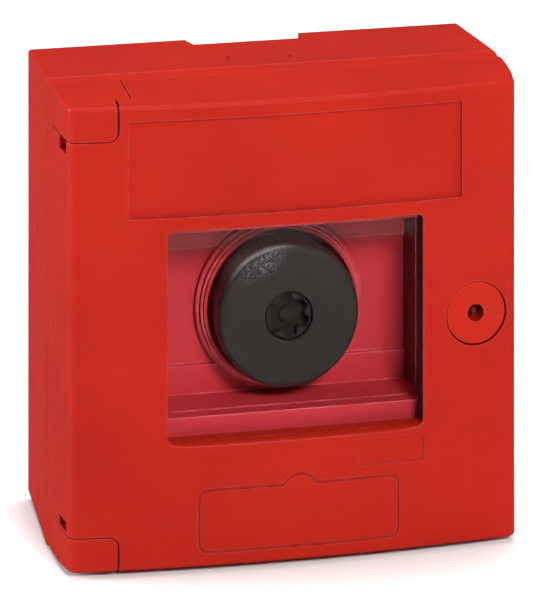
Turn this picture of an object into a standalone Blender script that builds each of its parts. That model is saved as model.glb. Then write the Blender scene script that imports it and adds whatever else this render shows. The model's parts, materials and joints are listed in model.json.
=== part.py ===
# Surface-mounted emergency call box: tapered back box, front frame with hinge
# corner blocks, crowned hinged door with a flat glass pane, key-turned door
# lock, and a mushroom push button working two contact blocks.
#
# Axes: X to the right, -Y out of the wall towards the user, +Z up.
# Origin: centre of the wall face (the plane Y = 0).
# Driving dimensions are in millimetres; MM turns them into metres.

import bpy
import bmesh
import math

MM = 0.001

# ---------------------------------------------------------------- dimensions
FRONT_HALF_W = 62.6        # half width of the door at its front edge
FRONT_HALF_H = 63.3        # half height of the door at its front edge
EDGE_DEPTH = 62.2          # depth of the door's front vertical edges
CROWN_R = 523.0            # plan radius of the crowned door face
BACK_HALF_W = 63.15        # back box at the wall
BACK_HALF_H = 62.9
PART_HALF_W = 64.5         # back box at the parting line
PART_HALF_H = 64.7
PART_DEPTH = 36.2          # parting line between back box and front frame
WALL = 2.4                 # moulded wall of the back box
DOOR_WALL = 2.2            # moulded wall of the door
GAP = 0.3                  # gap kept between touching pieces
DOOR_REAR = 41.3           # rear edge of the door's return flanges
HINGE_X, HINGE_Y = -58.3, -60.2
PIN_R = 1.0
PIN_HOLE_R = 1.05
BLOCK_X = -49.3            # inner side of the hinge corner blocks
BLOCK_Z = 54.0             # lower side of the upper block (mirrored below)
TAB_X, TAB_Y = -44.6, 57.2 # the block's upper side reaches further in, behind the door's front
WIN_X0, WIN_X1 = -35.9, 36.2
WIN_Z0, WIN_Z1 = -29.2, 28.8
SILL_Z = -29.2 - 0.02      # lower side of the opening, where its rounding begins
GLASS_FRONT = 59.3         # depth of the rabbet that the pane sits in
SEAT_X, SEAT_Z = 40.0, 31.6
WELL_X = 37.5              # half width of the button well
WELL_Z0, WELL_Z1 = -25.3, 25.5
COVER_FRONT = 39.4         # front of the inner cover plate
BAND_FRONT = 38.3          # recessed band across the well's floor
BAND_Z0, BAND_Z1 = -16.6, 15.5
SHROUD_FRONT = 51.2
BTN_X, BTN_Z = 0.9, -0.7   # button axis
HEAD_R = 20.2
HEAD_FRONT = 53.0
HEAD_REAR = 41.0
TRAVEL = 4.5               # button travel, for reference
LOCK_X, LOCK_Z = 51.5, 0.0
LOCK_R = 8.9
LOCK_DISC_R = 8.6
LABEL = (-46.5, 47.4, 32.6, 59.0)
PANEL = (-27.2, 28.8, -59.2, -42.3)
NOTCH_DEPTH = 6.8


# ------------------------------------------------------------------ clearing
for ob in list(bpy.data.objects):
    bpy.data.objects.remove(ob, do_unlink=True)


# ----------------------------------------------------------------- materials
def material(name, rgb, rough, metal=0.0, alpha=1.0, transmission=0.0):
    m = bpy.data.materials.new(name)
    m.use_nodes = True
    b = m.node_tree.nodes["Principled BSDF"]
    b.inputs["Base Color"].default_value = (rgb[0], rgb[1], rgb[2], 1.0)
    b.inputs["Roughness"].default_value = rough
    b.inputs["Metallic"].default_value = metal
    b.inputs["Alpha"].default_value = alpha
    b.inputs["Transmission Weight"].default_value = transmission
    return m


M = {
    "red": ((0.58, 0.022, 0.012), 0.38),
    "inner_red": ((0.52, 0.020, 0.020), 0.42),
    "black": ((0.028, 0.025, 0.022), 0.40),
    "dark": ((0.012, 0.011, 0.010), 0.45),
    "steel": ((0.55, 0.55, 0.56), 0.32, 1.0),
    "brass": ((0.70, 0.50, 0.22), 0.30, 1.0),
    "rubber": ((0.02, 0.02, 0.02), 0.75),
    "grey": ((0.55, 0.56, 0.55), 0.50),
    "glass": ((0.92, 0.96, 0.94), 0.03, 0.0, 0.35, 1.0),
}


# ------------------------------------------------------------ mesh functions
def make(name, verts, faces, mat):
    """A closed mesh object from millimetre points, normals pointing out."""
    me = bpy.data.meshes.new(name)
    me.from_pydata([(v[0] * MM, v[1] * MM, v[2] * MM) for v in verts], [], faces)
    bm = bmesh.new()
    bm.from_mesh(me)
    bmesh.ops.remove_doubles(bm, verts=bm.verts, dist=1e-7)
    bmesh.ops.recalc_face_normals(bm, faces=bm.faces)
    bm.to_mesh(me)
    bm.free()
    ob = bpy.data.objects.new(name, me)
    bpy.context.scene.collection.objects.link(ob)
    if mat:
        args = M[mat]
        me.materials.append(material(name + "_" + mat, *args))
    return ob


def loft(name, rings, mat=None):
    """Solid through a stack of loops with the same number of points."""
    n = len(rings[0])
    verts = [p for r in rings for p in r]
    faces = []
    for i in range(len(rings) - 1):
        for j in range(n):
            k = (j + 1) % n
            faces.append((i * n + j, i * n + k, (i + 1) * n + k, (i + 1) * n + j))
    faces.append(tuple(range(n)))
    faces.append(tuple((len(rings) - 1) * n + j for j in range(n)))
    return make(name, verts, faces, mat)


def ring_loft(name, rings, mat=None):
    """Frame-like solid: the last loop joins back to the first."""
    n = len(rings[0])
    m = len(rings)
    verts = [p for r in rings for p in r]
    faces = []
    for i in range(m):
        a, b = i * n, ((i + 1) % m) * n
        for j in range(n):
            k = (j + 1) % n
            faces.append((a + j, a + k, b + k, b + j))
    return make(name, verts, faces, mat)


def rrect(x0, x1, z0, z1, r, y, seg=4):
    """Rounded rectangle in the XZ plane at depth y (y may be a function)."""
    r = max(0.01, min(r, (x1 - x0) / 2 - 0.01, (z1 - z0) / 2 - 0.01))
    pts = []
    for cx, cz, a0 in ((x1 - r, z1 - r, 0), (x0 + r, z1 - r, 90),
                       (x0 + r, z0 + r, 180), (x1 - r, z0 + r, 270)):
        for i in range(seg + 1):
            a = math.radians(a0 + 90.0 * i / seg)
            px, pz = cx + r * math.cos(a), cz + r * math.sin(a)
            pts.append((px, y(px) if callable(y) else y, pz))
    return pts


def block(name, x0, x1, y0, y1, z0, z1, mat=None, r=0.0, seg=2):
    """Box, with its four edges along Y rounded when r is given."""
    if r > 0:
        return loft(name, [rrect(x0, x1, z0, z1, r, y0, seg), rrect(x0, x1, z0, z1, r, y1, seg)], mat)
    p = [(x0, y0, z0), (x1, y0, z0), (x1, y0, z1), (x0, y0, z1)]
    q = [(x0, y1, z0), (x1, y1, z0), (x1, y1, z1), (x0, y1, z1)]
    return loft(name, [p, q], mat)


def turned(name, prof, mat=None, axis="Y", at=(0.0, 0.0), seg=32, closed=False, phase=0.0):
    """Turned piece. prof is (radius, position along the axis). With closed
    set, the profile is a loop that never meets the axis."""
    verts, rows = [], []
    for r, t in prof:
        if r < 1e-6:
            rows.append([len(verts)])
            verts.append((0.0, t, 0.0))
        else:
            row = []
            for i in range(seg):
                a = 2 * math.pi * (i + phase) / seg
                row.append(len(verts))
                verts.append((r * math.cos(a), t, r * math.sin(a)))
            rows.append(row)
    pairs = list(zip(rows[:-1], rows[1:]))
    if closed:
        pairs.append((rows[-1], rows[0]))
    faces = []
    for a, b in pairs:
        for i in range(seg):
            j = (i + 1) % seg
            if len(a) == 1 and len(b) == 1:
                continue
            if len(a) == 1:
                faces.append((a[0], b[i], b[j]))
            elif len(b) == 1:
                faces.append((a[i], a[j], b[0]))
            else:
                faces.append((a[i], a[j], b[j], b[i]))
    if not closed:
        for row in (rows[0], rows[-1]):
            if len(row) > 1:
                faces.append(tuple(row))
    out = []
    for x, t, z in verts:
        if axis == "Y":
            out.append((x + at[0], t, z + at[1]))
        else:
            out.append((x + at[0], z + at[1], t))
    return make(name, out, faces, mat)


def boolean(ob, others, op="DIFFERENCE"):
    """Cut with, or join on, each of the other solids, then drop them."""
    for o in others:
        mod = ob.modifiers.new(op.lower(), "BOOLEAN")
        mod.operation = op
        mod.solver = "EXACT"
        mod.object = o
        o.hide_render = True
        o.display_type = "WIRE"
    bpy.context.view_layer.update()
    dg = bpy.context.evaluated_depsgraph_get()
    me = bpy.data.meshes.new_from_object(ob.evaluated_get(dg), depsgraph=dg)
    bm = bmesh.new()
    bm.from_mesh(me)
    bmesh.ops.remove_doubles(bm, verts=bm.verts, dist=2e-6)
    bmesh.ops.dissolve_degenerate(bm, edges=bm.edges, dist=1e-6)
    bm.to_mesh(me)
    bm.free()
    mats = [m for m in ob.data.materials]
    ob.modifiers.clear()
    ob.data = me
    me.materials.clear()
    for m in mats[:1]:
        me.materials.append(m)
    for p in me.polygons:
        p.material_index = 0
    for o in others:
        bpy.data.objects.remove(o, do_unlink=True)
    return ob


def smooth(ob, angle=35.0):
    ob.data.shade_smooth()
    ob.data.set_sharp_from_angle(angle=math.radians(angle))
    return ob


# ------------------------------------------------------------ shared shapes
def front_y(x, back=0.0):
    """Depth of the crowned door face at x, moved back by 'back'."""
    half = 62.5
    s = math.sqrt(CROWN_R ** 2 - half ** 2)
    return -(EDGE_DEPTH + math.sqrt(CROWN_R ** 2 - x * x) - s) + back


def taper_z(y):
    """Growth of the height from the front edge back to the parting line."""
    return 1.0 + 0.0007 * (y + EDGE_DEPTH)


def fillet(points, radii, seg=6):
    """Round the corners of an open polyline in the XY plane."""
    out = [points[0]]
    for i in range(1, len(points) - 1):
        r = radii.get(i, 0.0)
        p, a, b = points[i], points[i - 1], points[i + 1]
        if r <= 0:
            out.append(p)
            continue
        va = (a[0] - p[0], a[1] - p[1])
        vb = (b[0] - p[0], b[1] - p[1])
        la, lb = math.hypot(*va), math.hypot(*vb)
        va = (va[0] / la, va[1] / la)
        vb = (vb[0] / lb, vb[1] / lb)
        ang = math.acos(max(-1, min(1, va[0] * vb[0] + va[1] * vb[1])))
        t = r / math.tan(ang / 2)
        pa = (p[0] + va[0] * t, p[1] + va[1] * t)
        pb = (p[0] + vb[0] * t, p[1] + vb[1] * t)
        bis = (va[0] + vb[0], va[1] + vb[1])
        lbis = math.hypot(*bis)
        cdist = r / math.sin(ang / 2)
        c = (p[0] + bis[0] / lbis * cdist, p[1] + bis[1] / lbis * cdist)
        a0 = math.atan2(pa[1] - c[1], pa[0] - c[0])
        a1 = math.atan2(pb[1] - c[1], pb[0] - c[0])
        d = (a1 - a0 + math.pi) % (2 * math.pi) - math.pi
        for k in range(seg + 1):
            aa = a0 + d * k / seg
            out.append((c[0] + r * math.cos(aa), c[1] + r * math.sin(aa)))
    out.append(points[-1])
    return out


def plan_profile(rear=DOOR_REAR):
    """Door outline seen from above: left side, crowned face, right side."""
    left = [(-63.95, -rear), (-63.7, -50.0)]
    right = [(64.6, -53.0), (65.0, -47.0), (65.15, -rear)]
    xs = [-56.0 + 112.0 * i / 15.0 for i in range(16)]
    crown = [(x, front_y(x)) for x in xs]
    lc = (-FRONT_HALF_W, front_y(-FRONT_HALF_W))
    rc = (FRONT_HALF_W + 0.5, front_y(FRONT_HALF_W))
    pts = left + [lc] + crown + [rc] + right
    return fillet(pts, {2: 3.2, 3 + len(crown): 2.6}, seg=6)


def offset(profile, d):
    """Move an open plan outline inwards by d."""
    out = []
    n = len(profile)
    for i, p in enumerate(profile):
        a = profile[max(0, i - 1)]
        b = profile[min(n - 1, i + 1)]
        if i == 0:
            t1 = (b[0] - p[0], b[1] - p[1])
            t2 = t1
        elif i == n - 1:
            t1 = (p[0] - a[0], p[1] - a[1])
            t2 = t1
        else:
            t1 = (p[0] - a[0], p[1] - a[1])
            t2 = (b[0] - p[0], b[1] - p[1])
        l1, l2 = math.hypot(*t1), math.hypot(*t2)
        n1 = (-t1[1] / l1, t1[0] / l1)
        n2 = (-t2[1] / l2, t2[0] / l2)
        m = (n1[0] + n2[0], n1[1] + n2[1])
        lm = math.hypot(*m)
        m = (m[0] / lm, m[1] / lm)
        c = m[0] * n1[0] + m[1] * n1[1]
        out.append((p[0] + m[0] * d / c, p[1] + m[1] * d / c))
    return out


def prism_z(name, profile, z0, z1, mat=None, warp=True, edge_r=0.0, steps=3):
    """Stack a plan outline between z0 and z1, tapering with depth, with the
    upper and lower edges rounded by edge_r."""
    levels = []
    if edge_r > 0:
        for i in range(steps + 1):
            a = math.pi / 2 * i / steps
            levels.append((z0 + edge_r * (1 - math.sin(a)), edge_r * (1 - math.cos(a))))
        levels = levels[::-1]
        levels = [(z0 + edge_r * (1 - math.cos(math.pi / 2 * i / steps)),
                   edge_r * (1 - math.sin(math.pi / 2 * i / steps))) for i in range(steps + 1)]
        levels += [(z1 - (z - z0), d) for z, d in reversed(levels)]
    else:
        levels = [(z0, 0.0), (z1, 0.0)]
    rings = []
    for z, d in levels:
        pts = offset(profile, d) if d > 1e-9 else list(profile)
        pts[0] = (pts[0][0], profile[0][1])
        pts[-1] = (pts[-1][0], profile[-1][1])
        rings.append([(x, y, z * taper_z(y) if warp else z) for x, y in pts])
    return loft(name, rings, mat)


def side_w(y):
    return BACK_HALF_W + (PART_HALF_W - BACK_HALF_W) * (-y / PART_DEPTH)


def side_h(y):
    return BACK_HALF_H + (PART_HALF_H - BACK_HALF_H) * (-y / PART_DEPTH)


def box_ring(y, inset=0.0, r=0.9, seg=3):
    w, h = side_w(y) - inset, side_h(y) - inset
    return rrect(-w, w, -h, h, r, y, seg)


# ---------------------------------------------------------------- base: box
back_box = loft("back_box", [box_ring(0.0, 0.3, 0.7), box_ring(-0.3, 0.0),
                             box_ring(-PART_DEPTH + 0.3, 0.0), box_ring(-PART_DEPTH, 0.3)], "red")
cavity = loft("cut", [box_ring(-2.5, WALL, 1.2), box_ring(-45.0, WALL, 1.2)])
boolean(back_box, [cavity])
bosses = [turned("add", [(3.4, -2.0), (3.4, -33.9)], seg=20, at=(sx * 56.3, sz * 56.3))
          for sx in (-1, 1) for sz in (-1, 1)]
boolean(back_box, bosses, "UNION")
pilots = [turned("cut", [(1.45, -22.0), (1.45, -60.0)], seg=16, at=(sx * 56.3, sz * 56.3))
          for sx in (-1, 1) for sz in (-1, 1)]
notch = [(-17.8, 3.0), (-17.6, -1.5), (-16.4, -NOTCH_DEPTH), (15.6, -NOTCH_DEPTH), (15.6, 3.0)]
notch_cut = loft("cut", [[(x, y, 57.0) for x, y in notch], [(x, y, 80.0) for x, y in notch]])
holes = [turned("cut", [(2.3, 5.0), (2.3, -6.0)], seg=20, at=(sx * 42.0, sz * 46.0))
         for sx in (-1, 1) for sz in (-1, 1)]
boolean(back_box, pilots + [notch_cut] + holes)


def knockout(sign, cx, cy, half_l, r):
    """Thin obround score line in the upper or lower wall of the box."""
    def loop(rr, lift):
        pts = []
        for k in range(24):
            a = 2 * math.pi * (k + 0.5) / 24
            ex = half_l if math.cos(a) > 0 else -half_l
            x, y = cx + ex + rr * math.cos(a), cy + rr * math.sin(a)
            pts.append((x, y, sign * (side_h(y) + lift)))
        return pts
    return ring_loft("cut", [loop(r + 0.25, 3.0), loop(r - 0.25, 3.0),
                             loop(r - 0.25, -0.3), loop(r + 0.25, -0.3)])


boolean(back_box, [knockout(1, -2.0, -27.0, 4.6, 4.6), knockout(-1, 0.0, -24.0, 0.0, 8.0)])
pips = [turned("cut", [(0.75, side_h(y) - 0.6), (0.75, side_h(y) + 2.0)], axis="Z", seg=12, at=(x, y))
        for x, y in ((-11.0, -27.0), (7.1, -28.4))]
boolean(back_box, pips)

# -------------------------------------------------------------- base: frame
RIM = 60.6
rim = ring_loft("front_frame", [
    rrect(-PART_HALF_W + 0.3, PART_HALF_W - 0.3, -PART_HALF_H + 0.3, PART_HALF_H - 0.3, 0.9, -PART_DEPTH - GAP),
    rrect(-PART_HALF_W, PART_HALF_W, -PART_HALF_H, PART_HALF_H, 0.9, -PART_DEPTH - GAP - 0.35),
    rrect(-63.9, 64.6, -63.95, 63.95, 1.0, -40.9),
    rrect(-RIM, RIM, -RIM, RIM, 1.0, -40.1),
    rrect(-RIM, RIM, -RIM, RIM, 1.0, -PART_DEPTH - GAP)], "red")
ledge = ring_loft("add", [rrect(-61.1, 61.1, -61.1, 61.1, 1.5, -34.6), rrect(-61.1, 61.1, -61.1, 61.1, 1.5, -37.0),
                          rrect(-54, 54, -54, 54, 1.0, -37.0), rrect(-54, 54, -54, 54, 1.0, -34.6)])
boolean(rim, [ledge], "UNION")
pads = [block("add", sx * 50.0 if sx > 0 else -60.0, 60.0 if sx > 0 else -50.0, -34.6, -37.0,
              50.0 if sz > 0 else -60.0, 60.0 if sz > 0 else -50.0) for sx in (-1, 1) for sz in (-1, 1)]
boolean(rim, pads, "UNION")
walls = [block("add", -47.9, 61.5, -36.8, -50.5, 59.7, 61.2),
         block("add", -47.9, 61.5, -36.8, -50.5, -61.2, -59.7),
         block("add", 59.6, 61.5, -36.8, -50.5, -61.2, 61.2),
         block("add", 57.0, 60.2, -49.0, -50.5, -6.0, 6.0)]
boolean(rim, walls, "UNION")


def corner_block(sign):
    prof = [p for p in plan_profile(40.5) if p[0] < BLOCK_X - 1.2]
    r = 0.6
    face = front_y(BLOCK_X)
    edge = [(BLOCK_X - r, face), (BLOCK_X - 0.3 * r, face + 0.3 * r), (BLOCK_X, face + r), (BLOCK_X, -40.5)]
    ob = prism_z("block", prof + edge, 50.0, FRONT_HALF_H, None, True, 0.0)
    bm = bmesh.new()
    bm.from_mesh(ob.data)
    top = [e for e in bm.edges if all(v.co.z > 0.0628 and v.co.y < -0.0555 for v in e.verts)]
    bmesh.ops.bevel(bm, geom=top, offset=1.0 * MM, segments=3, affect="EDGES", profile=0.5)
    bm.to_mesh(ob.data)
    bm.free()
    keep = block("keep", -90.0, BLOCK_X, -90.0, -30.0, BLOCK_Z, 90.0, None, r=2.6, seg=6)
    boolean(ob, [keep], "INTERSECT")
    tab = prism_z("tab", [(-52.0, -40.5), (-52.0, -TAB_Y), (TAB_X, -TAB_Y), (TAB_X, -40.5)], 60.6,
                  FRONT_HALF_H, None, True, 0.0)
    boolean(ob, [tab], "UNION")
    if sign < 0:
        for v in ob.data.vertices:
            v.co.z = -v.co.z
        ob.data.flip_normals()
    return ob


upper, lower = corner_block(1), corner_block(-1)
boolean(rim, [upper], "UNION")
boolean(rim, [lower], "UNION")
pin_cuts = [turned("cut", [(PIN_HOLE_R, sz * 50.0), (PIN_HOLE_R, sz * 61.8)], axis="Z", seg=16,
                   at=(HINGE_X, HINGE_Y)) for sz in (-1, 1)]
screw_cuts = [turned("cut", [(1.75, -30.0), (1.75, -39.0)], seg=16, at=(sx * 56.3, sz * 56.3))
              for sx in (-1, 1) for sz in (-1, 1)]
cover_cuts = [turned("cut", [(1.25, -30.0), (1.25, -39.0)], seg=12, at=(sx * 30.0, sz * 56.0))
              for sx in (-1, 1) for sz in (-1, 1)]
boolean(rim, pin_cuts + screw_cuts + cover_cuts)
front_frame = rim

for sz, nm in ((1, "hinge_pin_upper"), (-1, "hinge_pin_lower")):
    turned(nm, [(0.0, sz * 47.2), (PIN_R - 0.2, sz * 47.2), (PIN_R, sz * 47.6), (PIN_R, sz * 61.2),
                (PIN_R - 0.2, sz * 61.5), (0.0, sz * 61.5)], "steel", axis="Z", seg=16, at=(HINGE_X, HINGE_Y))


def screw(name, x, z, head_y, head_r, head_t, shank_r, length, mat="steel", seg=12, cross=True):
    """Pan-head screw driven along +Y; head_y is the front of its head."""
    y0 = head_y
    ob = turned(name, [(0.0, y0), (head_r * 0.72, y0), (head_r, y0 + head_t * 0.45), (head_r, y0 + head_t),
                       (shank_r, y0 + head_t), (shank_r, y0 + head_t + length - shank_r),
                       (0.0, y0 + head_t + length)],
                mat, seg=seg, at=(x, z))
    if cross:
        w, l = head_r * 0.16, head_r * 0.55
        boolean(ob, [block("cut", x - l, x + l, y0 - 1.0, y0 + head_t * 0.55, z - w, z + w)])
    return smooth(ob)


names = {(-1, -1): "lower_left", (-1, 1): "upper_left", (1, -1): "lower_right", (1, 1): "upper_right"}
for (sx, sz), nm in names.items():
    screw("case_screw_" + nm, sx * 56.3, sz * 56.3, -39.1, 3.0, 1.8, 1.35, 12.0)

# -------------------------------------------------------------- inner cover
cover = block("inner_cover", -57.5, 58.0, -37.3, -COVER_FRONT, -57.4, 57.4, "inner_red", r=1.0)
shroud = loft("add", [rrect(-38.9, 42.4, -31.0, 31.0, 2.0, -38.5, 4), rrect(-38.9, 42.4, -31.0, 31.0, 2.0, -SHROUD_FRONT, 4)])
boolean(cover, [shroud], "UNION")
well = loft("cut", [rrect(-WELL_X + 0.5, WELL_X - 0.5, WELL_Z0 + 0.4, WELL_Z1 - 0.4, 1.6, -COVER_FRONT, 4),
                    rrect(-WELL_X, WELL_X, WELL_Z0, WELL_Z1, 2.0, -60.0, 4)])
boolean(cover, [well])
band = loft("cut", [rrect(-WELL_X + 0.5, WELL_X - 0.5, BAND_Z0, BAND_Z1, 0.05, -BAND_FRONT, 1),
                    rrect(-WELL_X + 0.5, WELL_X - 0.5, BAND_Z0 - 0.25, BAND_Z1 + 0.25, 0.05, -COVER_FRONT - 0.02, 1)])
hole = turned("cut", [(22.7, -30.0), (22.7, -45.0)], seg=48, at=(BTN_X, BTN_Z))
corners = [block("cut", 52.4 if sx > 0 else -70.0, 70.0 if sx > 0 else -52.4, -30.0, -45.0,
                 52.4 if sz > 0 else -70.0, 70.0 if sz > 0 else -52.4) for sx in (-1, 1) for sz in (-1, 1)]
fix = [turned("cut", [(1.5, -30.0), (1.5, -45.0)], seg=16, at=(sx * 30.0, sz * 56.0 - sz * 0.0))
       for sx in (-1, 1) for sz in (-1, 1)]
seat_cut = turned("cut", [(24.3, -BAND_FRONT), (24.3, -45.0)], seg=48, at=(BTN_X, BTN_Z))
boolean(cover, [band])
boolean(cover, [seat_cut])
boolean(cover, [hole] + corners)
boolean(cover, fix)
for (sx, sz), nm in names.items():
    screw("cover_screw_" + nm, sx * 30.0, sz * 56.0, -41.1, 2.3, 1.4, 1.1, 5.0)

# --------------------------------------------------------- button operator
at = (BTN_X, BTN_Z)
collar = turned("button_collar", [(24.0, -38.6), (24.0, -40.3), (23.7, -40.6), (23.0, -40.6), (22.9, -41.9),
                                  (22.7, -42.1), (22.2, -42.1), (22.1, -43.0), (21.8, -43.2), (21.2, -42.9),
                                  (21.2, -36.0), (11.3, -36.0), (11.3, -34.4), (22.4, -34.4), (22.4, -38.6)],
                "inner_red", seg=48, at=at, closed=True)
smooth(collar)
operator = turned("operator_body", [(8.2, -38.2), (8.6, -38.4), (12.4, -38.4), (12.8, -38.0), (12.8, -36.3),
                                    (11.0, -36.3), (11.0, -22.3), (10.6, -22.0), (3.8, -22.0), (3.8, -23.4),
                                    (8.2, -23.4)], "dark", seg=28, at=at, closed=True)
smooth(operator)
nut = loft("operator_nut", [[(BTN_X + 15.5 * math.cos(math.radians(60 * k)), y,
                              BTN_Z + 15.5 * math.sin(math.radians(60 * k))) for k in range(6)]
                            for y in (-33.0, -29.6)], "black")
boolean(nut, [turned("cut", [(11.3, -25.0), (11.3, -40.0)], seg=28, at=at)])
gasket = turned("operator_gasket", [(11.4, -33.3), (15.6, -33.3), (15.6, -34.1), (11.4, -34.1)], "rubber",
                seg=28, at=at, closed=True)

# ------------------------------------------------------------ button, moving
head = turned("mushroom_head", [(0.0, -47.0), (6.7, -47.0), (6.75, -52.7), (7.1, -53.1), (13.0, -53.2),
                                (18.0, -53.05), (18.9, -52.85), (19.6, -52.3), (20.0, -51.5), (20.2, -50.2),
                                (20.2, -43.2), (20.0, -41.6), (19.5, -41.0), (18.4, -41.0), (18.0, -41.6),
                                (17.6, -45.0), (0.0, -45.0)], "black", seg=48, at=at)
smooth(head, 30)
socket_pts = []
for k in range(36):
    a = 2 * math.pi * k / 36
    rr = 4.7 if k % 6 in (0, 1) else 6.05
    a += math.radians(2.0)
    socket_pts.append((rr * math.cos(a), rr * math.sin(a)))
insert = turned("reset_socket", [(0.0, -47.3), (6.4, -47.3), (6.4, -51.9), (6.25, -52.05), (0.0, -52.05)], "dark",
                seg=36, at=at)
lobes = loft("cut", [[(BTN_X + x, y, BTN_Z + z) for x, z in socket_pts] for y in (-48.4, -60.0)])
boolean(insert, [lobes])
post = turned("add", [(1.9, -48.2), (1.9, -50.4)], seg=16, at=at)
boolean(insert, [post], "UNION")
plunger = turned("plunger", [(0.0, -44.7), (7.6, -44.7), (7.9, -44.4), (7.9, -33.2), (7.6, -33.0), (3.5, -33.0),
                             (3.5, -21.9), (3.1, -21.9), (3.1, -20.9), (3.5, -20.9), (3.5, -19.6), (0.0, -19.6)],
                 "grey", seg=24, at=at)
smooth(plunger)
turned("retaining_clip", [(3.3, -21.7), (5.4, -21.7), (5.4, -21.1), (3.3, -21.1)], "steel", seg=24, at=at, closed=True)


def coil(name, cx, cz, radius, wire, y0, y1, turns, mat):
    """Compression spring: a round wire swept along a helix about Y."""
    n = int(turns * 12)
    m = 5
    rings = []
    for i in range(n + 1):
        t = i / n
        a = 2 * math.pi * turns * t
        y = y0 + (y1 - y0) * t
        ca, sa = math.cos(a), math.sin(a)
        ring = []
        for j in range(m):
            b = 2 * math.pi * j / m
            rr = radius + wire * math.cos(b)
            ring.append((cx + rr * ca, y + wire * math.sin(b), cz + rr * sa))
        rings.append(ring)
    return smooth(loft(name, rings, mat), 60)


coil("return_spring", BTN_X, BTN_Z, 5.6, 0.55, -32.1, -24.3, 3.5, "steel")

# --------------------------------------------------------------- contacts
block("push_bar", BTN_X - 10.4, BTN_X + 10.4, -18.2, -19.3, BTN_Z - 3.0, BTN_Z + 3.0, "grey", r=1.0)
holder = block("contact_holder", BTN_X - 15.5, BTN_X + 15.5, -25.6, -29.0, BTN_Z - 21.0, BTN_Z + 21.0, "dark", r=2.0)
boolean(holder, [turned("cut", [(11.3, -20.0), (11.3, -40.0)], seg=28, at=at)])
boolean(holder, [block("add", BTN_X + sx * 13.0 - 1.6, BTN_X + sx * 13.0 + 1.6, -13.6, -26.5,
                       BTN_Z + sz * 12.0 - 2.0, BTN_Z + sz * 12.0 + 2.0) for sx in (-1, 1) for sz in (-1, 1)], "UNION")
for side, cx in (("no", BTN_X - 7.4), ("nc", BTN_X + 7.4)):
    housing = block("contact_block_" + side, cx - 6.8, cx + 6.8, -2.8, -13.3, -20.0, 20.0, "grey", r=0.8)
    room = block("cut", cx - 4.2, cx + 4.2, -4.0, -12.0, -12.0, 12.0)
    mouth = block("cut", cx - 2.6, cx + 2.6, -11.0, -30.0, BTN_Z - 2.6, BTN_Z + 2.6)
    wells = [turned("cut", [(2.9, -5.2), (2.9, -30.0)], seg=12, at=(cx, sz * 16.2)) for sz in (-1, 1)]
    boolean(housing, [room])
    boolean(housing, [mouth] + wells)
    # the bridge hangs just behind its slider; the closed pair of fixed
    # contacts lies in front of it, the open pair where the travel ends
    block("contact_bridge_" + side, cx - 2.4, cx + 2.4, -9.8, -10.6, -9.5, 9.5, "brass", r=0.6)
    block("contact_slider_" + side, cx - 2.2, cx + 2.2, -10.9, -17.9, BTN_Z - 2.2, BTN_Z + 2.2, "dark", r=0.4)
    for sz, nm in ((1, "upper"), (-1, "lower")):
        y0, y1 = (-10.9, -11.7) if side == "nc" else (-4.3, -5.0)
        za, zb = (5.0, 11.7) if sz > 0 else (-11.7, -5.0)
        block("fixed_contact_%s_%s" % (side, nm), cx - 2.4, cx + 2.4, y0, y1, za, zb, "brass")
        screw("terminal_screw_%s_%s" % (side, nm), cx, sz * 16.2, -12.8, 2.6, 2.2, 1.6, 4.5)

# --------------------------------------------------- caps over wall fixings
for (sx, sz), nm in names.items():
    cap = turned("fixing_cap_" + nm, [(0.0, -5.4), (4.2, -5.4), (4.8, -4.9), (4.8, -2.8), (3.9, -2.8),
                                      (3.9, -4.4), (0.0, -4.4)], "grey", seg=14, at=(sx * 42.0, sz * 46.0))
    smooth(cap)

# --------------------------------------------------------------------- door
profile = plan_profile()
door = prism_z("door_panel", profile, -FRONT_HALF_H, FRONT_HALF_H, "red", True, 1.0, 3)
inner = offset(profile, DOOR_WALL)
inner = [(inner[0][0], -25.0)] + inner + [(inner[-1][0], -25.0)]
hollow = prism_z("cut", inner, -FRONT_HALF_H + DOOR_WALL, FRONT_HALF_H - DOOR_WALL, None, True)
boolean(door, [hollow])
window_tube = loft("add", [rrect(-42.0, 42.0, -33.4, 33.4, 1.5, -51.8, 3), rrect(-42.0, 42.0, -33.4, 33.4, 1.5, -63.0, 3)])
knuckles = [block("add", -61.6, -55.9, -57.7, -61.6, z0, z1) for z0, z1 in ((45.5, 52.0), (-52.0, -45.5))]
boolean(door, [window_tube], "UNION")
boolean(door, knuckles, "UNION")
opening = loft("cut", [rrect(WIN_X0 + 0.35, WIN_X1 - 0.35, WIN_Z0, WIN_Z1 - 0.35, 1.2, -50.0, 5),
                       rrect(WIN_X0, WIN_X1, WIN_Z0, WIN_Z1, 1.5, -66.6, 5)])
# channel behind the front lip, for the sleeve of the pane's seal
channel = loft("cut", [rrect(-36.75, 37.05, WIN_Z0, 29.65, 1.6, -50.0, 5), rrect(-36.75, 37.05, WIN_Z0, 29.65, 1.6, -63.7, 5)])
channel_foot = block("cut", -36.75, 37.05, -50.0, -63.7, WIN_Z0, 0.0)
seat = loft("cut", [rrect(-SEAT_X, SEAT_X, -SEAT_Z, SEAT_Z, 1.2, -40.0, 3), rrect(-SEAT_X, SEAT_X, -SEAT_Z, SEAT_Z, 1.2, -GLASS_FRONT, 3)])
boolean(door, [opening])
boolean(door, [seat])
boolean(door, [channel])
boolean(door, [channel_foot])


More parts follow.
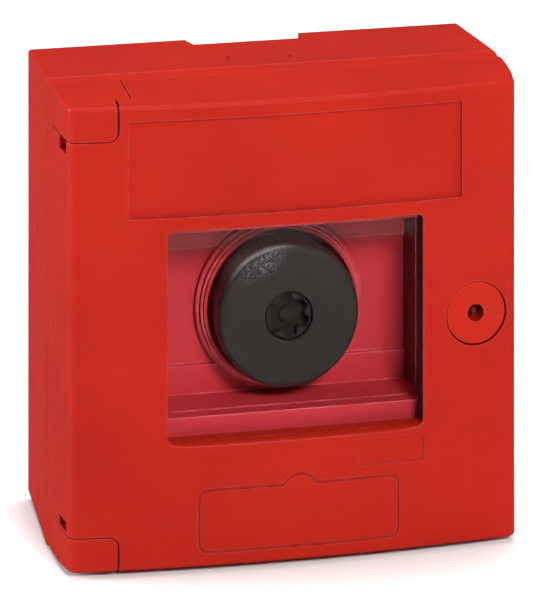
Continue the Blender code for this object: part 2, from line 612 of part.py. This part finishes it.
def sill_flare(a=4.6, b=1.3, n=18):
    """Elliptical rounding that runs the lower side of the opening out into
    the crowned face, fading away at both ends."""
    x0, x1 = WIN_X0 + 0.9, WIN_X1 - 0.9
    rings = []
    for i in range(n + 1):
        x = x0 + (x1 - x0) * i / n
        k = min(1.0, 0.22 + 0.78 * min(x - x0, x1 - x) / 4.0)
        ea, eb = a * k, b * k
        yf = front_y(x)
        top = SILL_Z
        ring = [(x, yf + ea * (1 - math.sin(math.radians(t))), top - eb * (1 - math.cos(math.radians(t))))
                for t in (0, 18, 36, 52, 66, 78, 90)]
        ring += [(x, yf - 3.0, top - eb), (x, yf - 3.0, top + 1.5), (x, yf + ea, top + 1.5)]
        rings.append(ring)
    return loft("cut", rings)


boolean(door, [sill_flare()])


def plan_cut(x0, x1, z0, z1, depth, n=14):
    """Recess of even depth below the crowned face."""
    front = [(x0, -75.0), (x1, -75.0)]
    back = [(x1 + (x0 - x1) * i / n, front_y(x1 + (x0 - x1) * i / n, depth)) for i in range(n + 1)]
    pts = front + back
    return loft("cut", [[(x, y, z0) for x, y in pts], [(x, y, z1) for x, y in pts]])


boolean(door, [plan_cut(LABEL[0], LABEL[1], LABEL[2], LABEL[3], 1.0)])
boolean(door, [plan_cut(17.8, 36.4, -38.9, -31.7, 0.3, 4)])


def panel_outline(grow):
    """Rounded rectangle with a half-round thumb bump on its upper side."""
    x0, x1, z0, z1 = PANEL
    x0, x1, z0, z1 = x0 - grow, x1 + grow, z0 - grow, z1 + grow
    r = 2.4 + grow
    pts = []
    for cx, cz, a0 in ((x1 - r, z1 - r, 0),):
        for i in range(5):
            a = math.radians(a0 + 90 * i / 4)
            pts.append((cx + r * math.cos(a), cz + r * math.sin(a)))
    bx, br = 0.9, 5.4 + grow
    drop = 2.6
    bz = PANEL[3] - drop
    half = math.sqrt(br * br - (z1 - bz) ** 2)
    a1 = math.atan2(z1 - bz, half)
    for i in range(9):
        a = a1 + (math.pi - 2 * a1) * i / 8
        pts.append((bx + br * math.cos(a), bz + br * math.sin(a)))
    for cx, cz, a0 in ((x0 + r, z1 - r, 90), (x0 + r, z0 + r, 180), (x1 - r, z0 + r, 270)):
        for i in range(5):
            a = math.radians(a0 + 90 * i / 4)
            pts.append((cx + r * math.cos(a), cz + r * math.sin(a)))
    return pts


def panel_loops():
    a, b = panel_outline(0.35), panel_outline(-0.35)
    oa, ob_ = [], []
    n = len(a)
    for i in range(n):
        p, q = a[i], a[(i + 1) % n]
        s, t = b[i], b[(i + 1) % n]
        m = max(1, int(math.hypot(q[0] - p[0], q[1] - p[1]) / 6.0))
        for k in range(m):
            f = k / m
            oa.append((p[0] + (q[0] - p[0]) * f, p[1] + (q[1] - p[1]) * f))
            ob_.append((s[0] + (t[0] - s[0]) * f, s[1] + (t[1] - s[1]) * f))
    return oa, ob_


outer_l, inner_l = panel_loops()
groove = ring_loft("cut", [[(x, -75.0, z) for x, z in outer_l], [(x, -75.0, z) for x, z in inner_l],
                           [(x, front_y(x, 0.5), z) for x, z in inner_l],
                           [(x, front_y(x, 0.5), z) for x, z in outer_l]])
boolean(door, [groove])
lock_boss = turned("add", [(10.9, -57.6), (10.9, -62.0)], seg=40, at=(LOCK_X, LOCK_Z))
lock_hole = turned("cut", [(LOCK_R, -60.9), (LOCK_R, -75.0)], seg=48, at=(LOCK_X + 0.17, LOCK_Z - 0.17))
barrel_hole = turned("cut", [(5.3, -50.0), (5.3, -62.0)], seg=24, at=(LOCK_X, LOCK_Z))
corner_cuts = [block("cut", -90.0, BLOCK_X + 0.3, -90.0, -20.0, BLOCK_Z - GAP if sz > 0 else -90.0,
                     90.0 if sz > 0 else -BLOCK_Z + GAP, None, r=2.9, seg=6) for sz in (-1, 1)]
slots = [block("cut", -75.0, -61.4, -52.0, -58.8, 50.0, 60.0), block("cut", -75.0, -61.4, -51.8, -59.0, -53.0, -50.3)]
tab_cuts = [block("cut", -90.0, TAB_X + GAP, -TAB_Y - GAP, -20.0, 60.0 if sz > 0 else -90.0, 90.0 if sz > 0 else -60.0)
            for sz in (-1, 1)]
boolean(door, [lock_boss], "UNION")
boolean(door, [lock_hole])
boolean(door, [barrel_hole])
boolean(door, [corner_cuts[0]])
boolean(door, [corner_cuts[1]])
# behind its front lip the door's edge is cut back, so that it swings clear
# of the hinge block's front corner
reliefs = [block("cut", -90.0, BLOCK_X + 0.75, -62.6, -20.0, BLOCK_Z - GAP if sz > 0 else -90.0,
                 90.0 if sz > 0 else -BLOCK_Z + GAP, None, r=2.9, seg=6) for sz in (-1, 1)]
boolean(door, [reliefs[0]])
boolean(door, [reliefs[1]])
boolean(door, slots)
boolean(door, tab_cuts)
boolean(door, [turned("cut", [(PIN_HOLE_R, sz * 46.8), (PIN_HOLE_R, sz * 70.0)], axis="Z", seg=16,
                      at=(HINGE_X, HINGE_Y)) for sz in (-1, 1)])

gasket_ring = ring_loft("glass_gasket", [rrect(-39.7, 39.7, -31.3, 31.3, 1.0, -GLASS_FRONT + GAP, 4),
                                         rrect(-39.7, 39.7, -31.3, 31.3, 1.0, -58.3, 4),
                                         rrect(-36.1, 36.4, -30.3, 29.0, 1.4, -58.3, 4),
                                         rrect(-36.1, 36.4, -30.3, 29.0, 1.4, -GLASS_FRONT + GAP, 4)], "rubber")
# sleeve: three sides line the opening, the lower side stays bare
sleeve = ring_loft("add", [rrect(-36.4, 36.7, -40.0, 29.3, 1.5, -58.6, 4), rrect(-36.4, 36.7, -40.0, 29.3, 1.5, -63.35, 4),
                           rrect(-35.9, 36.2, -39.5, 28.8, 1.2, -63.35, 4), rrect(-35.9, 36.2, -39.5, 28.8, 1.2, -58.6, 4)])
boolean(sleeve, [block("cut", -60.0, 60.0, -50.0, -70.0, -50.0, WIN_Z0 + GAP)])
boolean(gasket_ring, [sleeve], "UNION")
block("glass_pane", -39.7, 39.7, -58.0, -56.6, -31.3, 31.3, "glass", r=1.0)
ring_loft("glass_retainer", [rrect(-39.7, 39.7, -31.3, 31.3, 1.0, -56.3, 3),
                             rrect(-39.7, 39.7, -31.3, 31.3, 1.0, -51.9, 3),
                             rrect(-37.4, 37.4, WELL_Z0 + 0.1, WELL_Z1 - 0.1, 1.4, -51.9, 3),
                             rrect(-37.4, 37.4, WELL_Z0 + 0.1, WELL_Z1 - 0.1, 1.4, -56.3, 3)], "inner_red")

# --------------------------------------------------------------------- lock
seg = 48


def disc_ring(r, y):
    return [(LOCK_X + r * math.cos(2 * math.pi * k / seg),
             (y(LOCK_X + r * math.cos(2 * math.pi * k / seg)) if callable(y) else y),
             LOCK_Z + r * math.sin(2 * math.pi * k / seg)) for k in range(seg)]


lock_disc = loft("lock_disc", [disc_ring(5.0, -50.6), disc_ring(5.0, -61.2), disc_ring(LOCK_DISC_R, -61.2),
                               disc_ring(LOCK_DISC_R, lambda x: front_y(x, 0.35)),
                               disc_ring(LOCK_DISC_R - 0.3, lambda x: front_y(x, 0.05))], "red")
boolean(lock_disc, [turned("cut", [(2.45, -57.5), (2.45, -75.0)], seg=24, at=(LOCK_X, LOCK_Z))])
smooth(lock_disc)
pin = turned("lock_pin", [(0.0, -57.8), (0.8, -57.8), (0.8, -61.0), (0.6, -61.2), (0.0, -61.2)], "steel",
             seg=16, at=(LOCK_X, LOCK_Z))
smooth(pin)
turned("lock_washer", [(5.3, -56.5), (8.6, -56.5), (8.6, -57.3), (5.3, -57.3)], "steel", seg=20,
       at=(LOCK_X, LOCK_Z), closed=True)
lock_nut = loft("lock_nut", [[(LOCK_X + 7.9 * math.cos(math.radians(60 * k)), y,
                               LOCK_Z + 7.9 * math.sin(math.radians(60 * k))) for k in range(6)]
                             for y in (-56.2, -53.4)], "steel")
boolean(lock_nut, [turned("cut", [(5.3, -50.0), (5.3, -60.0)], seg=24, at=(LOCK_X, LOCK_Z))])
cam = block("lock_cam", LOCK_X - 3.2, LOCK_X + 3.2, -47.0, -48.5, LOCK_Z - 7.6, LOCK_Z + 3.6, "steel", r=1.6, seg=4)
boolean(cam, [turned("cut", [(1.9, -40.0), (1.9, -55.0)], seg=16, at=(LOCK_X, LOCK_Z))])
stud = turned("lock_screw", [(0.0, -44.8), (2.6, -44.8), (3.2, -45.2), (3.2, -46.7), (1.6, -46.7), (1.6, -50.3),
                             (0.0, -50.3)], "steel", seg=20, at=(LOCK_X, LOCK_Z))
smooth(stud)

for nm in ("back_box", "front_frame", "inner_cover", "door_panel", "lock_disc"):
    smooth(bpy.data.objects[nm], 25)

# Moving pieces keep their origins on their joints' axes.


def set_origin(ob, x, y, z):
    d = (x * MM, y * MM, z * MM)
    for v in ob.data.vertices:
        v.co.x -= d[0]
        v.co.y -= d[1]
        v.co.z -= d[2]
    ob.location = d


for nm in ("door_panel", "glass_pane", "glass_gasket", "glass_retainer"):
    set_origin(bpy.data.objects[nm], HINGE_X, HINGE_Y, 0.0)
for nm in ("lock_disc", "lock_pin", "lock_cam", "lock_screw", "lock_washer", "lock_nut"):
    set_origin(bpy.data.objects[nm], LOCK_X, -60.0, LOCK_Z)
for nm in ("mushroom_head", "reset_socket", "plunger", "retaining_clip", "return_spring",
           "push_bar", "contact_slider_no", "contact_slider_nc", "contact_bridge_no", "contact_bridge_nc"):
    set_origin(bpy.data.objects[nm], BTN_X, -45.0, BTN_Z)
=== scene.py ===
import json
import math

import bmesh
import bpy
from mathutils import Matrix, Vector


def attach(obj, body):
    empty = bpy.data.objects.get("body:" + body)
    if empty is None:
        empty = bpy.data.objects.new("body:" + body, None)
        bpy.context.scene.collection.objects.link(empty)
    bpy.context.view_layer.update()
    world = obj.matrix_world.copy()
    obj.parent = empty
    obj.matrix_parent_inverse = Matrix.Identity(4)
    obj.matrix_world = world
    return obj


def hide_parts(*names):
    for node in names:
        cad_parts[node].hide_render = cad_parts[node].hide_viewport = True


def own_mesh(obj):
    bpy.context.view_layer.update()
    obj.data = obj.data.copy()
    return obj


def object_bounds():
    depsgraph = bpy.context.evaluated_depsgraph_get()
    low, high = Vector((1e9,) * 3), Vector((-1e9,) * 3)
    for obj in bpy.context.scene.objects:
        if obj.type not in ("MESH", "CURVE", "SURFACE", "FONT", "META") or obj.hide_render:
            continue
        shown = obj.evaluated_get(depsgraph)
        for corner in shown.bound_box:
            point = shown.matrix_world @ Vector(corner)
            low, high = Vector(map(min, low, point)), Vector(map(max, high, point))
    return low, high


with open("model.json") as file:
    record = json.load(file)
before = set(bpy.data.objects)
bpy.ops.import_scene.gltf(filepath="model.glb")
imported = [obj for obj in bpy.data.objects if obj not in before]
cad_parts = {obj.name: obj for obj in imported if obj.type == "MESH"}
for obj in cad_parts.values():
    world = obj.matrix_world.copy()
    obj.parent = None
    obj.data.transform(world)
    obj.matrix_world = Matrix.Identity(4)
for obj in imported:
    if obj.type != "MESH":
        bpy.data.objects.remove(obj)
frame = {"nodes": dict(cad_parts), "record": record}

lo0, hi0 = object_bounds()
NODES = frame["nodes"]
MM = 0.001

# ------------------------------------------------------------------ render look
scene = bpy.context.scene
scene.view_settings.view_transform = "Standard"
scene.view_settings.look = "None"
scene.view_settings.exposure = 0.0
scene.view_settings.gamma = 1.0


# --------------------------------------------------------------- node helpers
class Mat:
    """Small helper to build a procedural material."""

    def __init__(self, name):
        self.m = bpy.data.materials.new(name)
        self.m.use_nodes = True
        self.t = self.m.node_tree
        self.b = self.t.nodes["Principled BSDF"]
        self.out = self.t.nodes["Material Output"]
        self.coord = self.t.nodes.new("ShaderNodeTexCoord")

    def new(self, kind, **values):
        n = self.t.nodes.new(kind)
        for k, v in values.items():
            if hasattr(n, k):
                setattr(n, k, v)
            else:
                n.inputs[k].default_value = v
        return n

    def link(self, a, b):
        self.t.links.new(a, b)

    def noise(self, scale, detail=2.0, rough=0.5, distortion=0.0, vector=None):
        n = self.new("ShaderNodeTexNoise")
        n.inputs["Scale"].default_value = scale
        n.inputs["Detail"].default_value = detail
        n.inputs["Roughness"].default_value = rough
        n.inputs["Distortion"].default_value = distortion
        self.link(vector or self.coord.outputs["Object"], n.inputs["Vector"])
        return n.outputs["Fac"]

    def ramp(self, fac, stops):
        n = self.new("ShaderNodeValToRGB")
        e = n.color_ramp.elements
        while len(e) < len(stops):
            e.new(0.5)
        for el, (p, c) in zip(e, stops):
            el.position = p
            el.color = (c, c, c, 1) if isinstance(c, (int, float)) else (*c, 1)
        self.link(fac, n.inputs["Fac"])
        return n.outputs["Color"]

    def math(self, op, a, b=0.0, c=None, clamp=False):
        n = self.new("ShaderNodeMath")
        n.operation = op
        n.use_clamp = clamp
        for i, v in enumerate((a, b) if c is None else (a, b, c)):
            if isinstance(v, (int, float)):
                n.inputs[i].default_value = v
            else:
                self.link(v, n.inputs[i])
        return n.outputs[0]

    def mix(self, fac, a, b, blend="MIX"):
        n = self.new("ShaderNodeMix")
        n.data_type = "RGBA"
        n.blend_type = blend
        for sock, v in ((n.inputs[0], fac), (n.inputs[6], a), (n.inputs[7], b)):
            if isinstance(v, (int, float)):
                sock.default_value = v
            elif isinstance(v, tuple):
                sock.default_value = (*v, 1) if len(v) == 3 else v
            else:
                self.link(v, sock)
        return n.outputs[2]

    def bump(self, height, strength, distance, normal=None):
        n = self.new("ShaderNodeBump")
        n.inputs["Strength"].default_value = strength
        n.inputs["Distance"].default_value = distance
        self.link(height, n.inputs["Height"])
        if normal is not None:
            self.link(normal, n.inputs["Normal"])
        return n.outputs["Normal"]

    def edge(self, radius, power=1.0):
        """0 on flat areas and 1 on edges, from the rounded normal."""
        bv = self.new("ShaderNodeBevel")
        bv.samples = 6
        bv.inputs["Radius"].default_value = radius
        g = self.new("ShaderNodeNewGeometry")
        d = self.new("ShaderNodeVectorMath")
        d.operation = "DOT_PRODUCT"
        self.link(bv.outputs["Normal"], d.inputs[0])
        self.link(g.outputs["Normal"], d.inputs[1])
        e = self.math("SUBTRACT", 1.0, d.outputs["Value"], clamp=True)
        return self.math("MULTIPLY", e, power, clamp=True)


def red_plastic(name, rgb, rough=0.40, spec=0.32, grain=1.0, shade=0.0, wear_and_highlight=0.5, wear_and_highlight_rgb=None):
    m = Mat(name)
    big = m.noise(28.0, 3.0, 0.5)
    fine = m.noise(1500.0, 2.0, 0.6)
    mid = m.noise(260.0, 3.0, 0.55)
    dark = tuple(c * 0.90 for c in rgb)
    light = tuple(min(1, c * 1.06) for c in rgb)
    col = m.mix(m.ramp(big, [(0.30, 0.0), (0.70, 1.0)]), dark, light)
    col = m.mix(m.math("MULTIPLY", m.ramp(fine, [(0.38, 0.0), (0.62, 1.0)]), 0.10), col, tuple(c * 0.72 for c in rgb))
    edge = m.edge(0.0009, 2.5)
    edge = m.math("MULTIPLY", edge, m.ramp(mid, [(0.40, 0.25), (0.62, 1.0)]))
    # lighter, pinker edges: partly real wear, partly a painted highlight where the light catches the rounded edges
    wear_and_highlight_rgb = wear_and_highlight_rgb or (min(1, rgb[0] * 1.10 + 0.05), rgb[1] * 1.6 + 0.03, rgb[2] * 1.6 + 0.03)
    col = m.mix(m.math("MULTIPLY", edge, wear_and_highlight), col, wear_and_highlight_rgb)
    m.link(col, m.b.inputs["Base Color"])
    r = m.math("MULTIPLY_ADD", m.ramp(mid, [(0.3, 0.0), (0.7, 1.0)]), 0.10, rough - 0.05)
    r = m.math("MULTIPLY_ADD", edge, -0.16, r)
    m.link(r, m.b.inputs["Roughness"])
    m.link(m.math("MULTIPLY_ADD", edge, 0.95, spec, clamp=True), m.b.inputs["Specular IOR Level"])
    n = m.bump(fine, 0.20 * grain, 0.00006)
    n = m.bump(mid, 0.06 * grain, 0.00012, n)
    m.link(n, m.b.inputs["Normal"])
    if shade:
        # painted shade: walls of the deep well that face left or right are darkened to a tenth of their colour,
        # standing in for the deep shadow there
        g = m.new("ShaderNodeNewGeometry")
        sep = m.new("ShaderNodeSeparateXYZ")
        m.link(g.outputs["Normal"], sep.inputs[0])
        side = m.math("ABSOLUTE", sep.outputs["X"])
        side = m.math("MULTIPLY", m.ramp(side, [(0.80, 0.0), (0.97, 1.0)]), shade)
        col = m.mix(side, col, tuple(c * 0.10 for c in rgb))
        m.link(col, m.b.inputs["Base Color"])
    return m.m


RED = red_plastic("red_moulded_plastic", (0.366, 0.0118, 0.0050), spec=0.08)
RED_LOCK = red_plastic("lock_red_plastic", (0.40, 0.0125, 0.0045), spec=0.10)
# painted light: the inner red is brighter and pinker than the outer red, standing in for the light reaching the deep
# well and the glass's reflection haze; its edges take a strong painted highlight and its walls a painted shade
RED_IN = red_plastic("inner_red_plastic", (0.50, 0.0335, 0.0455), rough=0.40, spec=0.10, shade=0.88, wear_and_highlight=0.9, wear_and_highlight_rgb=(0.80, 0.22, 0.24))


def plain(name, rgb, rough, metal=0.0, spec=0.5, grain=0.5, scale=900.0, wear_and_highlight=0.3):
    m = Mat(name)
    a = m.noise(scale, 3.0, 0.6)
    b = m.noise(60.0, 3.0, 0.5)
    col = m.mix(m.ramp(b, [(0.3, 0.0), (0.7, 1.0)]), tuple(c * 0.88 for c in rgb), tuple(min(1, c * 1.1) for c in rgb))
    # lighter edges: partly wear, partly a painted highlight along the edges
    e = m.math("MULTIPLY", m.edge(0.0005, 2.0), wear_and_highlight)
    col = m.mix(e, col, tuple(min(1.0, c * 1.3 + 0.04) for c in rgb))
    m.link(col, m.b.inputs["Base Color"])
    m.link(m.math("MULTIPLY_ADD", a, 0.12, rough - 0.06), m.b.inputs["Roughness"])
    m.b.inputs["Metallic"].default_value = metal
    m.b.inputs["Specular IOR Level"].default_value = spec
    m.link(m.bump(a, 0.25 * grain, 0.00005), m.b.inputs["Normal"])
    return m.m


def scuffed_black():
    """Moulded black button: satin all over, with a patch of fine scuffs
    rubbed bright on the upper left of its face, and a painted highlight along the upper rim."""
    m = Mat("scuffed_black_plastic")
    cloud = m.noise(55.0, 3.0, 0.55)
    fine = m.noise(1900.0, 2.0, 0.7)
    speck = m.noise(1700.0, 3.0, 0.8, 0.3)
    col = m.mix(m.ramp(cloud, [(0.3, 0.0), (0.7, 1.0)]), (0.0235, 0.0200, 0.0178), (0.0275, 0.0232, 0.0205))
    # patch of scuffs, centred in the object's own coordinates
    sep = m.new("ShaderNodeSeparateXYZ")
    m.link(m.coord.outputs["Object"], sep.inputs[0])
    dx = m.math("SUBTRACT", sep.outputs["X"], -0.0062)
    dz = m.math("SUBTRACT", sep.outputs["Z"], 0.0148)
    # long axis of the patch follows the rim
    u = m.math("ADD", m.math("MULTIPLY", dx, 0.82), m.math("MULTIPLY", dz, 0.57))
    v = m.math("ADD", m.math("MULTIPLY", dx, -0.57), m.math("MULTIPLY", dz, 0.82))
    d = m.math("SQRT", m.math("ADD", m.math("POWER", m.math("DIVIDE", u, 0.0125), 2.0),
                              m.math("POWER", m.math("DIVIDE", v, 0.0062), 2.0)))
    patch = m.ramp(m.math("ADD", d, m.math("MULTIPLY", cloud, 0.5)), [(0.35, 1.0), (1.25, 0.0)])
    dots = m.ramp(speck, [(0.49, 0.0), (0.64, 1.0)])
    scuff = m.math("MULTIPLY", patch, dots, clamp=True)
    # painted highlight: a bright band on the upper rim above the patch, standing in for the key light's reflection on
    # the rim
    rad = m.math("SQRT", m.math("ADD", m.math("POWER", sep.outputs["X"], 2.0), m.math("POWER", sep.outputs["Z"], 2.0)))
    off = m.math("ABSOLUTE", m.math("SUBTRACT", rad, 0.0187))
    band = m.ramp(m.math("MULTIPLY", off, 1000.0), [(0.10, 1.0), (0.55, 0.0)])
    along = m.ramp(m.math("ABSOLUTE", m.math("DIVIDE", m.math("ADD", u, 0.001), 0.011)), [(0.35, 1.0), (1.0, 0.0)])
    upper = m.ramp(m.math("MULTIPLY", sep.outputs["Z"], 50.0), [(0.30, 0.0), (0.55, 1.0)])
    rim_highlight = m.math("MULTIPLY", m.math("MULTIPLY", band, along), upper)
    rim_highlight = m.math("MULTIPLY", rim_highlight, m.ramp(speck, [(0.30, 0.45), (0.60, 1.0)]), clamp=True)
    col = m.mix(m.math("MULTIPLY", scuff, 0.80), col, (0.20, 0.20, 0.21))
    col = m.mix(m.math("MULTIPLY", rim_highlight, 0.85), col, (0.30, 0.30, 0.31))
    edge = m.edge(0.0008, 2.2)
    # slightly lighter edges: partly wear, partly a painted highlight
    col = m.mix(m.math("MULTIPLY", edge, 0.30), col, (0.035, 0.033, 0.032))
    m.link(col, m.b.inputs["Base Color"])
    r = m.math("MULTIPLY_ADD", fine, 0.04, 0.32)
    # the rim is polished by hands, so it carries a tight highlight
    r = m.math("MULTIPLY_ADD", edge, -0.12, r)
    m.link(m.math("MULTIPLY_ADD", scuff, 0.10, r), m.b.inputs["Roughness"])
    sp = m.math("MULTIPLY_ADD", edge, 0.45, 0.24)
    m.link(m.math("MULTIPLY_ADD", scuff, 0.5, sp, clamp=True), m.b.inputs["Specular IOR Level"])
    n = m.bump(cloud, 0.03, 0.00010)
    n = m.bump(m.math("MULTIPLY", speck, patch), 0.40, 0.00020, n)
    m.link(n, m.b.inputs["Normal"])
    return m.m


BLACK = scuffed_black()
DARK = plain("dark_plastic", (0.0205, 0.0165, 0.0140), 0.34, spec=0.18, grain=0.04, scale=1600.0, wear_and_highlight=0.5)
GREY = plain("grey_plastic", (0.55, 0.56, 0.55), 0.5)
RUBBER = plain("black_rubber", (0.018, 0.018, 0.018), 0.75)
STEEL = plain("zinc_plated_steel", (0.58, 0.58, 0.60), 0.30, metal=1.0)
PIN = plain("tarnished_pin", (0.16, 0.035, 0.03), 0.45, metal=0.6, spec=0.3)
BRASS = plain("brass_contact", (0.70, 0.50, 0.22), 0.28, metal=1.0)


def glass():
    """Clear pane: on its front faces, over the upper part of the window only, a faint grey veil with its Fresnel
    reflection, a painted reflection haze varied a little by dust; the rest passes straight through, so light and
    shadow reach the well."""
    m = Mat("clear_pane")
    g = m.noise(70.0, 3.0, 0.6)
    m.b.inputs["Base Color"].default_value = (0.36, 0.33, 0.33, 1)
    m.b.inputs["Roughness"].default_value = 0.06
    m.b.inputs["Specular IOR Level"].default_value = 0.5
    geo = m.new("ShaderNodeNewGeometry")
    front = m.math("SUBTRACT", 1.0, geo.outputs["Backfacing"])
    sep = m.new("ShaderNodeSeparateXYZ")
    m.link(m.coord.outputs["Object"], sep.inputs[0])
    up = m.new("ShaderNodeMapRange")
    up.interpolation_type = "SMOOTHSTEP"
    up.inputs["From Min"].default_value = 0.0190
    up.inputs["From Max"].default_value = 0.0270
    m.link(sep.outputs["Z"], up.inputs["Value"])
    # painted reflection haze: a faint grey veil over the top of the pane, slightly uneven from a dust noise
    painted_haze = m.math("MULTIPLY", up.outputs["Result"], m.math("MULTIPLY_ADD", g, 0.018, 0.080))
    m.link(m.math("MULTIPLY", painted_haze, front), m.b.inputs["Alpha"])
    return m.m


GLASS = glass()
SLOTS = {"red_plastic": RED, "inner_red_plastic": RED_IN, "black_plastic": BLACK, "dark_plastic": DARK,
         "grey_plastic": GREY, "rubber": RUBBER, "glass": GLASS, "brass": BRASS, "steel": STEEL}
slot_of = {s["node"]: s["material_slot"] for s in frame["record"]["subparts"]}
for name, ob in NODES.items():
    ob.data.materials.clear()
    ob.data.materials.append(SLOTS[slot_of[name]])

NODES["lock_pin"].data.materials[0] = PIN
NODES["lock_disc"].data.materials[0] = RED_LOCK

# Small real radii on the moulded edges, cut inwards only.


def soften(name, width, segments=3, angle=32.0):
    ob = NODES[name]
    d = ob.modifiers.new("planar", "DECIMATE")
    d.decimate_type = "DISSOLVE"
    d.angle_limit = math.radians(0.35)
    b = ob.modifiers.new("edge_radius", "BEVEL")
    b.width = width
    b.segments = segments
    b.limit_method = "ANGLE"
    b.angle_limit = math.radians(angle)
    b.use_clamp_overlap = True
    b.harden_normals = False
    w = ob.modifiers.new("normals", "WEIGHTED_NORMAL")
    w.keep_sharp = True
    for p in ob.data.polygons:
        pass
    return ob


for nm, wd in (("door_panel", 0.00028), ("front_frame", 0.00025), ("back_box", 0.00022), ("inner_cover", 0.00030),
               ("glass_retainer", 0.00020), ("lock_disc", 0.00015)):
    soften(nm, wd)

# The coil spring is copied onto the fixed base, so it stays with the holder
# instead of travelling through it with the moving head.


def coil_spring():
    src = NODES["return_spring"]
    ob = bpy.data.objects.new("return_spring_coil", src.data.copy())
    scene.collection.objects.link(ob)
    bpy.context.view_layer.update()
    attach(ob, "base")
    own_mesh(ob)
    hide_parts("return_spring")
    return ob


coil_spring()

# ---------------------------------------------------------------------- floor
floor_z = lo0.z - 0.0002


def floor():
    me = bpy.data.meshes.new("floor")
    s = 30.0
    me.from_pydata([(-s, -s, floor_z), (s, -s, floor_z), (s, s, floor_z), (-s, s, floor_z)], [], [(0, 1, 2, 3)])
    ob = bpy.data.objects.new("floor", me)
    scene.collection.objects.link(ob)
    m = Mat("pale_floor")
    n = m.noise(3.0, 2.0, 0.5)
    m.link(m.mix(n, (0.86, 0.86, 0.86), (0.90, 0.90, 0.90)), m.b.inputs["Base Color"])
    m.b.inputs["Roughness"].default_value = 0.85
    m.b.inputs["Specular IOR Level"].default_value = 0.1
    # away from the object the floor runs out into the white of the backdrop,
    # for the camera only, so it adds no light of its own
    d = m.new("ShaderNodeVectorMath")
    d.operation = "LENGTH"
    m.link(m.coord.outputs["Object"], d.inputs[0])
    far = m.new("ShaderNodeMapRange")
    far.interpolation_type = "SMOOTHSTEP"
    far.inputs["From Min"].default_value = 0.30
    far.inputs["From Max"].default_value = 1.10
    m.link(d.outputs["Value"], far.inputs["Value"])
    path = m.new("ShaderNodeLightPath")
    em = m.new("ShaderNodeEmission")
    em.inputs["Color"].default_value = (1, 1, 1, 1)
    mixer = m.new("ShaderNodeMixShader")
    m.link(m.math("MULTIPLY", far.outputs["Result"], path.outputs["Is Camera Ray"]), mixer.inputs["Fac"])
    m.link(m.b.outputs[0], mixer.inputs[1])
    m.link(em.outputs[0], mixer.inputs[2])
    m.link(mixer.outputs[0], m.out.inputs["Surface"])
    me.materials.append(m.m)
    ob.visible_glossy = False
    return ob


floor()

# --------------------------------------------------------------------- lights
world = bpy.data.worlds.new("studio")
scene.world = world
world.use_nodes = True
wt = world.node_tree
bg = wt.nodes["Background"]
bg.inputs["Color"].default_value = (1.0, 1.0, 1.0, 1)
bg.inputs["Strength"].default_value = 0.12
bg2 = wt.nodes.new("ShaderNodeBackground")
bg2.inputs["Color"].default_value = (1, 1, 1, 1)
bg2.inputs["Strength"].default_value = 1.0
lp = wt.nodes.new("ShaderNodeLightPath")
mx = wt.nodes.new("ShaderNodeMixShader")
wt.links.new(lp.outputs["Is Camera Ray"], mx.inputs["Fac"])
wt.links.new(bg.outputs[0], mx.inputs[1])
wt.links.new(bg2.outputs[0], mx.inputs[2])
wt.links.new(mx.outputs[0], wt.nodes["World Output"].inputs["Surface"])


def area(name, azimuth, elevation, distance, size, power, colour=(1, 1, 1), size_y=None):
    """Soft box; azimuth 0 is straight in front of the door, positive to the right."""
    az, el = math.radians(azimuth), math.radians(elevation)
    where = Vector((math.sin(az) * math.cos(el), -math.cos(az) * math.cos(el), math.sin(el))) * distance
    where += Vector((0.0, -0.03, 0.0))
    d = bpy.data.lights.new(name, "AREA")
    d.shape = "RECTANGLE"
    d.size = size
    d.size_y = size_y or size
    d.energy = power
    d.color = colour
    o = bpy.data.objects.new(name, d)
    scene.collection.objects.link(o)
    o.location = where
    o.rotation_mode = "QUATERNION"
    o.rotation_quaternion = (Vector((0, -0.03, 0)) - where).to_track_quat("-Z", "Y")
    return o


area("key", 7, 32, 1.7, 0.36, 25.0, (1.0, 0.985, 0.965))
area("side_right", 60, 20, 1.7, 1.0, 8.0)
area("side_left", -104, 14, 1.5, 0.6, 26.0, (0.95, 0.97, 1.0))
area("top", 160, 80, 1.6, 1.0, 25.5)

# --------------------------------------------------------------------- camera
YAW = math.radians(12.75)
FOCAL_PX = 4930.0
n_ = Vector((math.sin(YAW), math.cos(YAW), 0))
r_ = Vector((math.cos(YAW), -math.sin(YAW), 0))
z_ = Vector((0, 0, 1))
C = Vector((-0.30454, -1.38260, 0.44924))
t_ = 1609.0 / FOCAL_PX
back = -n_ + z_ * t_
M = Matrix(((r_.x, z_.x, back.x, C.x), (r_.y, z_.y, back.y, C.y), (r_.z, z_.z, back.z, C.z), (0, 0, 0, 1)))
cam = bpy.data.cameras.new("camera")
cam_ob = bpy.data.objects.new("camera", cam)
scene.collection.objects.link(cam_ob)
rig = bpy.data.objects.new("camera_rig", None)
scene.collection.objects.link(rig)
cam_ob.parent = rig
cam_ob.matrix_parent_inverse = M
cam_ob.matrix_basis = Matrix.Identity(4)
cam.sensor_width = 36.0
cam.lens = 36.0 * FOCAL_PX / 600.0 * back.length
cam.shift_x = 0.8 / 600.0
cam.shift_y = -0.4 / 600.0
cam.clip_start = 0.05
cam.clip_end = 100.0
scene.camera = cam_ob
